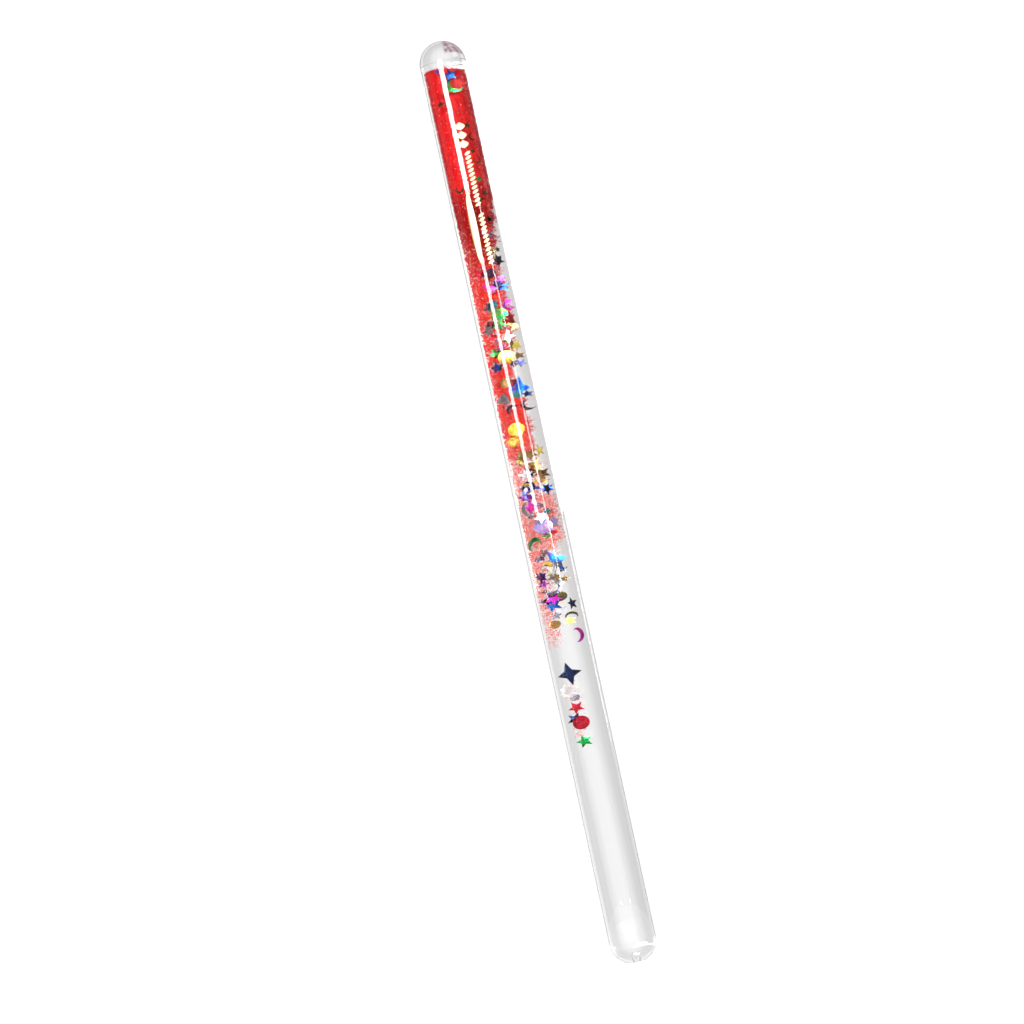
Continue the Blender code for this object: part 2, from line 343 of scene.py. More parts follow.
def goldPrintFinish():
    f = Finish("gold print")
    wear = f.noise(0.5 * mm, 4, 0.6)
    fine = f.noise(0.12 * mm, 2, 0.5)
    colour = f.blend(f.span(wear, 0.45, 0.7, 0.0, 1.0), (0.68, 0.56, 0.31, 1), (0.80, 0.73, 0.50, 1))
    # painted shadow: the left edge of the long stroke is coloured dark olive, as a shadow line beside the print
    spot = f.node("ShaderNodeTexCoord", out="Object")
    across = f.node("ShaderNodeSeparateXYZ", {}, {0: spot}, "X")
    paintedShadowEdge = f.span(across, -2.25 * mm, -2.05 * mm, 0.85, 0.0)
    colour = f.blend(paintedShadowEdge, colour, (0.20, 0.13, 0.03, 1))
    normal = f.bump(fine, 0.35, 0.01 * mm)
    rough = f.span(wear, 0.3, 0.7, 0.5, 0.65)
    shader = f.surface(colour=colour, rough=rough, metal=0.12, normal=normal)
    return f.done(shader)


foilColours = {  # main colour, and what it turns to where the foil catches another tone
    "blue": ((0.006, 0.05, 0.34), (0.01, 0.16, 0.60)),
    "navy": ((0.003, 0.005, 0.022), (0.005, 0.014, 0.06)),
    "teal": ((0.01, 0.10, 0.13), (0.02, 0.22, 0.24)),
    "violet": ((0.01, 0.09, 0.50), (0.34, 0.28, 0.56)),
    "purple": ((0.12, 0.015, 0.20), (0.28, 0.02, 0.34)),
    "magenta": ((0.48, 0.006, 0.24), (0.50, 0.03, 0.50)),
    "red": ((0.32, 0.005, 0.02), (0.50, 0.01, 0.03)),
    "green": ((0.005, 0.22, 0.035), (0.01, 0.42, 0.10)),
    "gold": ((0.62, 0.42, 0.03), (0.85, 0.68, 0.16)),
    "bronze": ((0.13, 0.07, 0.02), (0.24, 0.14, 0.04)),
    "silver": ((0.42, 0.44, 0.48), (0.66, 0.68, 0.70)),
    "pearl": ((0.70, 0.62, 0.50), (0.80, 0.76, 0.72)),
    "black": ((0.012, 0.01, 0.02), (0.05, 0.02, 0.05)),
    "olive": ((0.07, 0.06, 0.015), (0.15, 0.13, 0.03)),
    "film": ((0.55, 0.50, 0.50), (0.75, 0.70, 0.70)),
    "grey": ((0.10, 0.10, 0.13), (0.24, 0.23, 0.28)),
}
foilFinishes = {name: foilFinish(f"{name} foil", *pair) for name, pair in foilColours.items()}
acrylic = acrylicFinish("clear acrylic", acrylicBend, (0.985, 0.99, 0.99), 0.05)
boreFace = acrylicFinish("bore against liquid", liquidBend, (1, 1, 1), 0.0)
weld = clearFinish("welded joint", (0.995, 0.995, 0.995))
print("finishes made")


tubeLook = {
    "skin": 0.02,  # how far the outside stays within the solid it stands for
    "bore": 4.6,
    "floor": 4.5,
    "corner": 1.5,
    "tipFlat": 2.6,
    "hole": 1.2,
    "holeChamfer": 0.2,
    "steps": 128,
    "weldFrom": 295.98,  # above this the bore is glued to the plug
}


def makeTube():
    t = tubeLook
    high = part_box("tube")[1]
    radius = high.x / mm - t["skin"]
    top = high.z / mm
    ball = high.x / mm
    rise = math.sqrt(ball ** 2 - t["tipFlat"] ** 2)
    start = math.degrees(math.atan2(-rise + t["skin"], t["tipFlat"]))
    outer = arcPoints(0, rise, radius, start, 0, 26)
    outer[0] = (outer[0][0], t["skin"])
    profile = [(t["hole"], t["floor"]), (t["hole"], t["holeChamfer"] + t["skin"])]
    profile += [(t["hole"] + t["holeChamfer"], t["skin"])]
    profile += outer + [(radius, rise + 30 * n) for n in range(1, 9)]
    profile += [(radius, top - 0.06), (radius - 0.06, top), (t["bore"], top)]
    profile += [(t["bore"], t["weldFrom"]), (t["bore"], 150)]
    profile += arcPoints(t["bore"] - t["corner"], t["floor"] + t["corner"], t["corner"], 0, -90, 9)
    profile += [profile[0]]
    obj = spun("tube_clear", profile, t["steps"])

    def chooser(centre):
        r = math.hypot(centre.x, centre.y)
        if r < (t["hole"] + 0.02) * mm and centre.z < t["floor"] * mm:
            return 2  # glued to the pin
        if r < (t["bore"] + 0.02) * mm and centre.z > t["weldFrom"] * mm:
            return 2
        if centre.z > (top - 0.01) * mm:
            return 2
        if r < (t["bore"] + 0.02) * mm and centre.z > (t["floor"] - 0.01) * mm:
            return 1
        return 0

    smooth(obj)
    addPiece(obj, "tube_clear", body, [acrylic, boreFace, weld], ["tube"])
    setFaces(obj, chooser)


plugLook = {
    "skin": 0.02,
    "spigot": 4.585,
    "spigotChamfer": 0.25,
    "seam": 0.06,
    "steps": 128,
}


def makePlug():
    p = plugLook
    low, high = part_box("top_plug")
    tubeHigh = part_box("tube")[1]
    radius = high.x / mm - p["skin"]
    seat = high.z / mm - high.x / mm
    bottom = low.z / mm
    mouth = tubeHigh.z / mm + 0.004
    profile = [(0, bottom), (p["spigot"] - p["spigotChamfer"], bottom)]
    profile += [(p["spigot"], bottom + p["spigotChamfer"]), (p["spigot"], mouth)]
    profile += [(radius - p["seam"], mouth), (radius, mouth + p["seam"])]
    profile += arcPoints(0, seat, radius, 0, 90, 34)
    obj = spun("dome_clear", profile, p["steps"])

    def chooser(centre):
        r = math.hypot(centre.x, centre.y)
        if centre.z < (bottom + p["spigotChamfer"]) * mm:
            return 1
        if centre.z < (mouth + 0.01) * mm and r < (radius - 0.05) * mm:
            return 2
        return 0

    smooth(obj)
    addPiece(obj, "dome_clear", body, [acrylic, boreFace, weld], ["top_plug"])
    setFaces(obj, chooser)


pinLook = {
    "steps": 48,
    "bevel": 0.12,
}


def makePin():
    low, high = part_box("seal_pin")
    radius = high.x / mm
    base, top = low.z / mm, tubeLook["floor"]
    b = pinLook["bevel"]
    profile = [(0, base), (radius - b, base)] + arcPoints(radius - b, base + b, b, -90, 0, 5)[1:]
    profile += [(radius, top - b), (radius - b, top), (0, top)]
    obj = spun("pin_clear", profile, pinLook["steps"])

    def chooser(centre):
        return 1 if centre.z > (top - b) * mm else 0

    smooth(obj)
    addPiece(obj, "pin_clear", body, [acrylic, boreFace], ["seal_pin"])
    setFaces(obj, chooser)


liquidLook = {
    "gap": 0.015,
    "steps": 96,
}


def makeLiquid():
    g = liquidLook["gap"]
    bore = tubeLook["bore"] - g
    foot = tubeLook["floor"] + g
    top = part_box("top_plug")[0].z / mm - g
    corner = tubeLook["corner"]
    profile = [(0, foot)] + arcPoints(bore - corner, foot + corner, corner, -90, 0, 9)
    profile += [(bore, 100), (bore, 200), (bore, top - 0.2), (bore - 0.2, top), (0, top)]
    obj = spun("liquid", profile, liquidLook["steps"])
    smooth(obj)
    liquid = clearFinish("clear liquid", (0.985, 0.98, 0.98))
    addPiece(obj, "liquid", body, [liquid], ["clear_liquid"])


makeTube()
makePlug()
makePin()
makeLiquid()
print("acrylic and liquid made")


foilShapes = {  # half sizes in mm, as cut
    "star": 2.15,
    "diamond_star": (2.9, 3.9),
    "moon": 2.35,
    "disc": 2.2,
    "large_disc": 2.45,
    "hexagon": 2.2,
    "heart": 4.2,
    "thickness": 0.06,
    "room": 0.30,  # how far curl and tilt may take a point out of the foil's lane
    "roomOut": 0.10,  # the same, towards the bore's wall
    "reach": 4.5,  # how far from the axis a flat small foil may come
    "bedReach": 4.56,  # the same, for foils pressed against the bore
    "lanes": (1.1, 1.7, 2.3, -2.9),  # depths that a small foil may move to
}


def fan(name, count, radius):
    dropSelection()
    bpy.ops.mesh.primitive_circle_add(
        vertices=count, radius=radius * mm, fill_type="TRIFAN", location=(0, 0, 0))
    obj = bpy.context.object
    obj.name = name
    return obj


def rimPoints(obj):
    return [v for v in obj.data.vertices if v.co.length > 1e-6]


def finishCut(obj, cuts):
    editMesh(obj)
    bpy.ops.mesh.subdivide(number_cuts=cuts)
    bpy.ops.transform.rotate(value=-math.pi / 2, orient_axis="X", center_override=(0, 0, 0))
    leaveEdit()
    obj.hide_render = True
    return obj


def cutStar(name, tips, waist, wide, tall):
    obj = fan(name, 2 * tips, 1.0)
    for v in rimPoints(obj):
        angle = math.atan2(v.co.y, v.co.x) - math.pi / 2
        step = round(angle / (math.pi / tips)) % (2 * tips)
        reach = 1.0 if step % 2 == 0 else waist
        direction = math.radians(90 + 180 * step / tips)
        v.co.x = wide * reach * math.cos(direction) * mm
        v.co.y = tall * reach * math.sin(direction) * mm
    return finishCut(obj, 2)


def cutRound(name, sides, radius, cuts):
    return finishCut(fan(name, sides, radius), cuts)


def cutHeart(name, width):
    obj = fan(name, 24, 1.0)
    for v in rimPoints(obj):
        t = math.pi / 2 - math.atan2(v.co.y, v.co.x)
        v.co.x = 16 * math.sin(t) ** 3 * width / 32 * mm
        tall = 13 * math.cos(t) - 5 * math.cos(2 * t) - 2 * math.cos(3 * t) - math.cos(4 * t)
        v.co.y = tall * width / 32 * mm
    return finishCut(obj, 1)


def cutMoon(name, radius):
    # a flat strip is wrapped between the crescent's two arcs
    dropSelection()
    bpy.ops.mesh.primitive_grid_add(x_subdivisions=20, y_subdivisions=3, size=2, location=(0, 0, 0))
    obj = bpy.context.object
    obj.name = name
    horn = math.radians(55)
    inner = 0.42 * radius
    hornX, hornY = radius * math.cos(horn), radius * math.sin(horn)
    innerRadius = math.hypot(hornX - inner, hornY)
    innerHorn = math.atan2(hornY, hornX - inner)
    for v in obj.data.vertices:
        share, across = (v.co.x + 1) / 2, (v.co.y + 1) / 2
        a = horn + (2 * math.pi - 2 * horn) * share
        b = innerHorn + (2 * math.pi - 2 * innerHorn) * share
        outerPoint = Vector((radius * math.cos(a), radius * math.sin(a), 0))
        innerPoint = Vector((inner + innerRadius * math.cos(b), innerRadius * math.sin(b), 0))
        v.co = outerPoint.lerp(innerPoint, across) * mm
    editMesh(obj)
    bpy.ops.mesh.remove_doubles(threshold=0.01 * mm)
    bpy.ops.transform.rotate(value=-math.pi / 2, orient_axis="X", center_override=(0, 0, 0))
    leaveEdit()
    obj.hide_render = True
    return obj


sizes = foilShapes
cutShapes = {
    "star": cutStar("cut_star", 5, 0.45, sizes["star"], sizes["star"]),
    "diamond_star": cutStar("cut_diamond_star", 4, 0.43, *sizes["diamond_star"]),
    "moon": cutMoon("cut_moon", sizes["moon"]),
    "disc": cutRound("cut_disc", 20, sizes["disc"], 2),
    "large_disc": cutRound("cut_large_disc", 20, sizes["large_disc"], 2),
    "hexagon": cutRound("cut_hexagon", 6, sizes["hexagon"], 3),
    "heart": cutHeart("cut_heart", sizes["heart"]),
}
print("cuts made", len(cutShapes))

foilTurns = {  # in-plane turn of each foil, in degrees
    "blue_star_1": 10, "green_moon_1": 35, "green_star_1": 0, "black_star_1": 20, "red_star_1": 30,
    "black_star_2": 15, "magenta_moon_1": 80, "blue_star_2": 5, "teal_star_1": 12, "green_disc_1": 0,
    "green_star_2": 40, "silver_star_1": 25, "red_star_2": 8, "pearl_star_1": 50, "gold_star_1": 30,
    "green_star_3": 18, "gold_disc_1": 0, "violet_star_1": 0, "blue_diamond_star_1": -8,
    "silver_heart_1": 160, "gold_disc_2": 0, "gold_hexagon_1": 10, "gold_star_2": 12,
    "bronze_star_1": 33, "bronze_star_2": 22, "silver_star_2": 5, "violet_moon_1": -60,
    "navy_star_1": 40, "magenta_star_1": 15, "silver_moon_1": 10, "silver_star_3": 28,
    "violet_star_2": 3, "violet_large_disc_1": 0, "green_moon_2": -70, "blue_diamond_star_2": 20,
    "gold_moon_1": 200, "pearl_star_2": 45, "purple_star_1": 16, "magenta_star_2": 36,
    "blue_star_3": 20, "navy_star_2": 9, "magenta_moon_2": 190, "navy_diamond_star_1": 6,
    "pearl_disc_1": 0, "red_star_3": 27, "navy_star_3": 42, "red_disc_1": 0, "green_star_4": 14,
}


foilsInLight = {  # foils that lean so that they catch the lamp on the left
    "gold_disc_1", "gold_disc_2", "silver_star_3", "gold_moon_1", "pearl_star_2",
    "magenta_moon_1", "green_star_4",
}


def curlFoil(points, dice, out, inward, inLight):
    # points is an array of x, y, z around the foil's middle; y is moved, within the room there is
    direction = dice.uniform(0, math.pi)
    along = points[:, 0] * math.cos(direction) + points[:, 2] * math.sin(direction)
    curl = dice.uniform(0.006, 0.028) * dice.choice((-1, 1)) * along ** 2
    sideways = dice.uniform(-0.11, -0.04) if inLight else dice.uniform(0.01, 0.15)
    lean = sideways * points[:, 0] + dice.uniform(-0.08, 0.08) * points[:, 2]
    lift = curl + lean
    lift = lift - (lift.max() + lift.min()) / 2 + (inward - out) / 2
    spread = (lift.max() - lift.min()) / (inward + out)
    middle = (inward - out) / 2
    return middle + (lift - middle) / max(1.0, spread)


def makeFoil(name, shape, colour, middle, turn, aboutAxis, bodyName, stands, dice,
             scale=1.0, flatter=False):
    obj = copyOf(cutShapes[shape], name)
    obj.hide_render = False
    count = len(obj.data.vertices)
    co = np.empty(count * 3)
    obj.data.vertices.foreach_get("co", co)
    co = co.reshape(-1, 3) / mm * scale
    a = math.radians(turn)
    x = co[:, 0] * math.cos(a) - co[:, 2] * math.sin(a)
    z = co[:, 0] * math.sin(a) + co[:, 2] * math.cos(a)
    x -= (x.max() + x.min()) / 2
    z -= (z.max() + z.min()) / 2
    flat = np.stack([x, np.zeros(count), z], 1)
    wall = abs(aboutAxis) > 0.1
    lift = curlFoil(flat, dice, foilShapes["roomOut"] if wall else foilShapes["room"],
                    foilShapes["room"], stands and stands[0] in foilsInLight)
    if flatter:
        lift *= 0.1
    c, d = math.cos(aboutAxis), math.sin(aboutAxis)
    place = np.stack([x * c - lift * d, x * d + lift * c, z], 1) + np.array(middle)
    obj.data.vertices.foreach_set("co", (place * mm).ravel())
    obj.data.update()
    obj.modifiers.new("thickness", "SOLIDIFY").thickness = foilShapes["thickness"] * mm
    obj.modifiers["thickness"].offset = 0
    applyAll(obj)
    smooth(obj, 40)
    return addPiece(obj, name, bodyName, [foilFinishes[colour]], stands)


foilList = []  # middle, half width, half height, turn about the axis


def makeFoils():
    dice = random.Random(11)
    for node, turn in foilTurns.items():
        colour, shape = node.split("_", 1)
        shape = shape.rsplit("_", 1)[0]
        low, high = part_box(node)
        middle = (low + high) / 2 / mm
        wall = (high.y - low.y) / mm > 1.0
        aboutAxis = math.radians(58 if middle.x > 0 else -58) if wall else 0.0
        makeFoil(f"{node}_foil", shape, "film" if node == "pearl_disc_1" else colour, middle, turn,
                 aboutAxis, node, [node], dice)
        halfWidth = (high.x - low.x) / 2 / mm
        if wall:
            halfWidth = halfWidth / math.cos(aboutAxis)
        foilList.append((np.array(middle), halfWidth, (high.z - low.z) / 2 / mm, aboutAxis))


# small foils with no solid of their own: height, place across as seen from the front, cut, colour, size,
# how far behind the axis, and in-plane turn
smallFoils = [
    (294.4, -2.4, "star", "blue", 0.45, -2.9, 40), (284.2, -2.6, "moon", "black", 0.40, -2.9, 80),
    (224.1, 3.3, "star", "purple", 0.60, 1.1, 20), (220.2, -0.2, "moon", "red", 0.62, 1.1, 95),
    (216.4, 4.2, "star", "magenta", 0.60, 1.1, 8), (216.0, -1.4, "star", "black", 0.70, 1.1, 50),
    (210.5, -3.4, "star", "teal", 0.55, 1.7, 12), (207.9, 3.8, "moon", "bronze", 0.60, 1.1, 250),
    (205.9, -2.8, "star", "red", 0.62, 1.1, 22), (203.8, -2.2, "star", "grey", 0.70, 1.7, 61),
    (202.7, 1.4, "moon", "olive", 0.66, 1.1, 190), (198.6, 4.0, "star", "bronze", 0.66, 1.7, 11),
    (195.8, 4.2, "star", "navy", 0.66, 1.1, 33), (190.4, -3.1, "disc", "olive", 0.66, 1.1, 0),
    (188.8, 0.5, "disc", "black", 0.70, 1.7, 0), (185.7, 0.3, "hexagon", "olive", 0.60, 1.1, 15),
    (182.8, -3.1, "moon", "grey", 0.68, 1.7, 10), (182.1, 3.7, "moon", "black", 0.72, 1.1, 30),
    (170.1, -3.0, "hexagon", "bronze", 0.66, 1.1, 24), (164.6, -2.5, "star", "olive", 0.80, 1.1, 47),
    (162.1, 0.5, "disc", "bronze", 0.70, 1.7, 0), (157.1, 3.6, "star", "bronze", 0.66, 1.1, 52),
    (157.3, -1.2, "moon", "gold", 0.64, 1.1, 100), (155.9, -3.6, "star", "teal", 0.55, 1.7, 2),
    (152.3, -2.4, "star", "purple", 0.86, 1.1, 30), (149.3, 0.6, "star", "grey", 0.60, 1.7, 16),
    (146.3, -3.4, "star", "teal", 0.50, 1.1, 44), (139.3, 0.7, "star", "green", 0.60, 1.1, 19),
    (139.9, 3.0, "star", "red", 0.62, 1.7, 36), (133.9, -1.6, "star", "grey", 0.72, 1.1, 28),
    (133.3, 1.6, "star", "silver", 0.70, 1.7, 12), (132.3, -4.0, "star", "navy", 0.52, 1.7, 30),
    (127.8, 3.2, "star", "grey", 0.64, 1.1, 4), (127.1, -4.1, "star", "black", 0.52, 1.7, 17),
    (125.7, 0.1, "star", "silver", 0.80, 1.7, 38), (124.7, 3.4, "star", "bronze", 0.56, 1.7, 58),
    (123.7, 1.0, "hexagon", "silver", 0.56, 1.1, 10), (121.7, -4.0, "star", "black", 0.50, 1.1, 41),
    (120.9, -2.0, "star", "silver", 0.66, 1.7, 9), (119.3, 0.6, "disc", "olive", 0.70, 1.1, 0),
    (118.9, -4.2, "moon", "blue", 0.50, 1.7, 70), (117.5, -1.8, "disc", "pearl", 0.68, 1.1, 0),
    (114.8, 0.2, "star", "silver", 0.70, 1.7, 25), (113.6, -1.9, "star", "grey", 0.66, 1.1, 66),
    (112.8, 3.0, "moon", "olive", 0.55, 1.7, 265), (111.0, 2.0, "star", "gold", 0.66, 1.1, 14),
    (110.8, -3.0, "disc", "bronze", 0.60, 1.7, 0), (86.6, -1.7, "disc", "grey", 0.50, 1.1, 0),
    (239.7, 3.3, "moon", "grey", 0.60, -2.9, 30), (233.4, 2.7, "star", "olive", 0.60, -2.9, 12),
    (229.8, 4.2, "star", "black", 0.70, -2.9, 40), (226.3, 0.7, "disc", "black", 0.60, -2.9, 0),
    (222.1, 4.2, "star", "navy", 0.80, -2.9, 25), (216.3, -0.7, "star", "teal", 0.80, -2.9, 8),
    (212.8, 1.0, "moon", "black", 0.80, -2.9, 70), (209.9, -2.5, "star", "black", 0.70, -2.9, 33),
    (208.7, 2.7, "moon", "bronze", 0.80, -2.9, 210), (215.2, 5.6, "moon", "purple", 0.60, 2.3, 15),
    (201.6, -0.7, "star", "purple", 0.60, -2.9, 50), (202.2, 2.8, "moon", "olive", 0.60, -2.9, 140),
    (196.0, -3.6, "star", "navy", 0.75, -2.9, 10), (195.7, 4.4, "star", "black", 0.75, -2.9, 28),
    (190.2, -3.3, "disc", "bronze", 0.70, -2.9, 0), (190.4, -0.1, "star", "black", 0.80, -2.9, 18),
    (185.9, 1.0, "star", "teal", 0.70, -2.9, 60), (185.9, 4.2, "star", "navy", 0.60, -2.9, 5),
    (181.3, -1.6, "moon", "black", 0.70, -2.9, 300), (166.0, -2.4, "star", "olive", 0.80, -2.9, 36),
    (163.7, -0.1, "moon", "olive", 0.80, -2.9, 95), (161.4, 3.4, "star", "bronze", 0.80, -2.9, 14),
    (160.2, -0.1, "star", "black", 0.70, -2.9, 55), (155.6, -1.9, "moon", "navy", 0.80, -2.9, 190),
    (154.4, 3.9, "star", "blue", 0.70, -2.9, 21), (153.1, -4.3, "star", "purple", 0.80, -2.9, 3),
    (152.0, -1.4, "moon", "red", 0.70, -2.9, 250), (146.8, 3.8, "star", "teal", 0.60, -2.9, 44),
    (132.3, -4.6, "star", "black", 0.50, -2.9, 9), (127.1, -4.6, "star", "black", 0.60, -2.9, 31),
    (129.4, 2.1, "star", "grey", 0.80, -2.9, 17), (124.2, -3.7, "star", "purple", 0.70, -2.9, 52),
    (125.3, 0.9, "star", "bronze", 0.70, -2.9, 26), (121.8, -0.8, "moon", "grey", 0.80, -2.9, 120),
    (118.9, -4.6, "star", "black", 0.50, -2.9, 38),
]


# flat against the bore: height, degrees round to the right, cut, colour, size and in-plane turn
# painted shade: the dark olive, bronze, green and black pieces on the right, 229 to 276 mm high, are dark marks
# that stand for the gold print's shadow on the red
bedFoilsAndShadowMarks = [
    (275.2, 44, "star", "olive", 0.56, 60), (271.3, 52, "moon", "olive", 0.54, 20),
    (266.4, 41, "star", "bronze", 0.52, 33), (263.5, 55, "moon", "bronze", 0.50, 130),
    (257.2, 43, "star", "green", 0.56, 10), (252.2, 57, "star", "olive", 0.55, 40),
    (249.6, 40, "moon", "olive", 0.50, 320), (243.6, 50, "star", "black", 0.56, 12),
    (238.4, 39, "star", "violet", 0.50, 55), (233.5, 58, "star", "olive", 0.52, 5),
    (229.6, 46, "moon", "black", 0.55, 150), (283.6, -47, "star", "bronze", 0.42, 10),
    (254.9, -40, "moon", "olive", 0.52, 75),
]


def seenScale(depth):
    # how much the round acrylic widens what lies at that depth
    inside = (tubeRadius + depth) / tubeRadius
    return acrylicBend / (acrylicBend - (acrylicBend - 1) * inside)


def roomFor(x, depth, height, half):
    # true where a flat foil of that half size meets no other foil
    for middle, halfWidth, halfHeight, turn in foilList:
        if abs(height - middle[2]) > half + halfHeight + 0.1:
            continue
        if abs(turn) < 0.1:
            if abs(depth - middle[1]) < 0.55 and abs(x - middle[0]) < half + halfWidth + 0.1:
                return False
        else:
            step = (depth - middle[1]) / math.sin(turn)
            if abs(step) < halfWidth + 0.6 and abs(x - middle[0] - step * math.cos(turn)) < half + 0.5:
                return False
    return True


def makeSmallFoils():
    dice = random.Random(29)
    solids = {node: (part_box(node)[0].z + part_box(node)[1].z) / 2 / mm for node in foilTurns}
    solids["red_glitter_1"] = 286
    for i, (height, across, shape, colour, size, depth, turn) in enumerate(smallFoils):
        rides = min(solids, key=lambda node: abs(solids[node] - height))
        cut = foilShapes[shape]
        half = (cut[0] if isinstance(cut, tuple) else cut) * size
        for lane in (depth, *foilShapes["lanes"]):
            limit = math.sqrt(foilShapes["reach"] ** 2 - (abs(lane) + 0.3) ** 2) - half
            x = max(-limit, min(limit, across / seenScale(lane)))
            if roomFor(x, lane, height, half):
                break
        else:
            continue
        middle = Vector((x, lane, height))
        makeFoil(f"small_{colour}_{shape}_{i + 1}", shape, colour, middle, turn, 0.0, rides,
                 [], dice, size)
        foilList.append((np.array(middle), half, half, 0.0))


def makeBedFoilsAndShadowMarks():
    dice = random.Random(31)
    for i, (height, angle, shape, colour, size, turn) in enumerate(bedFoilsAndShadowMarks):
        half = foilShapes[shape] * size
        reach = math.sqrt(foilShapes["bedReach"] ** 2 - half ** 2) - foilShapes["thickness"]
        around = math.radians(angle)
        middle = Vector((reach * math.sin(around), -reach * math.cos(around), height))
        band = 1 + sum(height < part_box(f"red_glitter_{n}")[0].z / mm for n in (1, 2))
        obj = makeFoil(f"bed_{colour}_{shape}_{i + 1}", shape, colour, middle, turn, around,
                       f"red_glitter_{band}", [], dice,
                       size, flatter=True)
        foilList.append((np.array(middle), half, half, around))
        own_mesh(obj)


makeFoils()
makeSmallFoils()
makeBedFoilsAndShadowMarks()
print("foils made", len(foilList))


printLook = {
    "radius": 7.591,
    "thick": 0.008,
    "leafLong": 2.25,
    "leafWide": 0.95,
    "leafTilt": 28,
    "leafStep": 1.42,
    "garlands": [(265.6, 248.4, 1.62), (244.9, 228.9, 1.78)],  # top, bottom, place along the round
    "diamonds": [(274.7, 1.05), (271.7, 1.05), (268.7, 1.05)],  # height, place
    "diamondLong": 3.4,
    "diamondWide": 2.7,
    "stroke": (253.5, 228.9, -1.45, 2.4),
}


def leafPiece(name, long, wide, tilt, place, height, blunt=2):
    dropSelection()
    bpy.ops.mesh.primitive_grid_add(x_subdivisions=10, y_subdivisions=3, size=2, location=(0, 0, 0))
    obj = bpy.context.object
    obj.name = name
    a = math.radians(tilt)
    for v in obj.data.vertices:
        along = v.co.x
        across = v.co.y * (1 - abs(along) ** blunt) ** 0.6
        x, z = along * long / 2, across * wide / 2
        v.co = (place + x * math.cos(a) - z * math.sin(a), 0, height + x * math.sin(a) + z * math.cos(a))
    return obj


def makePrint():
    p = printLook
    parts = []
    for top, bottom, place in p["garlands"]:
        count = int((top - bottom) / p["leafStep"])
        for n in range(count + 1):
            parts.append(leafPiece("leaf", p["leafLong"], p["leafWide"], p["leafTilt"],
                                   place, top - n * p["leafStep"]))
    for height, place in p["diamonds"]:
        parts.append(leafPiece("diamond", p["diamondLong"], p["diamondWide"], 0, place, height, 0.85))
    top, bottom, place, wide = p["stroke"]
    stroke = leafPiece("stroke", top - bottom, wide, 90, 0, 0)
    editMesh(stroke)
    bpy.ops.mesh.subdivide(number_cuts=1)
    leaveEdit()
    for v in stroke.data.vertices:
        v.co.x += place + 0.00065 * (v.co.z + 6) ** 2
        v.co.z += (top + bottom) / 2
    parts.append(stroke)
    pick(parts[0])
    for obj in parts[1:]:
        obj.select_set(True)
    bpy.ops.object.join()
    obj = bpy.context.object
    for v in obj.data.vertices:
        angle = v.co.x / p["radius"]
        v.co = (p["radius"] * math.sin(angle) * mm, -p["radius"] * math.cos(angle) * mm, v.co.z * mm)
    editMesh(obj)
    bpy.ops.mesh.remove_doubles(threshold=0.002 * mm)
    leaveEdit()
    obj.modifiers.new("thickness", "SOLIDIFY").thickness = p["thick"] * mm
    obj.modifiers["thickness"].offset = 0
    applyAll(obj)
    smooth(obj, 40)
    return addPiece(obj, "gold_print", body, [goldPrintFinish()])


makePrint()
print("print made")


glitterLook = {
    "across": 0.33,
    "thick": 0.05,
    "edge": 4.575,  # where the middles of the outermost flakes lie
    "limit": 4.588,  # no point of a flake lies farther out
    "bedCore": 4.32,
    "counts": {1: 9000, 2: 9000, 3: 15500, 4: 17300, 5: 17300, 6: 9500, 7: 3200},  # flakes tried
    "keep": 0.522,  # height that is left when the contents have settled
}
# right-hand edge of the red as seen from the front, from top to bottom: height, share of the half width
redEdge = [(296, 1.0), (262, 1.0), (250, 0.85), (240, 0.62), (231, 0.45), (224, 0.55), (212, 0.6),
           (203, 0.35), (196, 0.1), (188, 0.15), (182, 0.35), (171, 0.35), (165, 0.2), (158, 0.2),
           (151, 0.75), (139, 0.8), (134, 0.1), (127, -0.3), (117, -0.35), (105, -0.45), (100, -0.5)]
# how much red there is, from none to packed
redFill = [(296, 1.0), (236, 1.0), (200, 1.0), (170, 0.95), (163, 0.6), (153, 0.6), (149, 1.0),
           (138, 0.9), (133, 0.3), (119, 0.22), (110, 0.14), (103, 0.02)]


def coreRadius(z):
    # the solid heart of the bed thins out towards the stream
    return glitterLook["bedCore"] - 2.3 * np.clip((256 - z) / 20, 0, 1) ** 1.5


def bedTop(x):
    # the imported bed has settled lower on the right
    return 296.05 - 2.0 * np.clip((x + 3.0) / 7.4, 0, 1) ** 1.6 - 0.5 * np.clip((-x - 3.0) / 1.4, 0, 1) ** 2


def along(table, heights):
    zs = [row[0] for row in table][::-1]
    vs = [row[1] for row in table][::-1]
    return np.interp(heights, zs, vs)


def flakeShape():
    # a six-sided flake with a shallow point on each face, so that it is closed
    dropSelection()
    bpy.ops.mesh.primitive_circle_add(vertices=6, radius=glitterLook["across"] / 2 * mm,
                                      fill_type="TRIFAN", location=(0, 0, 0))
    obj = bpy.context.object
    obj.name = "flake_cut"
    editMesh(obj)
    bpy.ops.mesh.duplicate()
    bpy.ops.mesh.flip_normals()
    leaveEdit()
    points = obj.data.vertices
    half = glitterLook["thick"] / 2 * mm
    seen = 0
    for v in points:
        if v.co.length < 1e-7:
            v.co.z = half if seen == 0 else -half
            seen += 1
    editMesh(obj)
    bpy.ops.mesh.remove_doubles(threshold=0.001 * mm)
    bpy.ops.mesh.select_all(action="SELECT")
    bpy.ops.mesh.normals_make_consistent(inside=False)
    leaveEdit()
    co = np.array([v.co[:] for v in obj.data.vertices]) / mm
    faces = np.array([f.vertices[:] for f in obj.data.polygons])
    bpy.data.objects.remove(obj)
    return co, faces


flakePoints, flakeFaces = flakeShape()
print("flake", len(flakePoints), "points", len(flakeFaces), "faces")


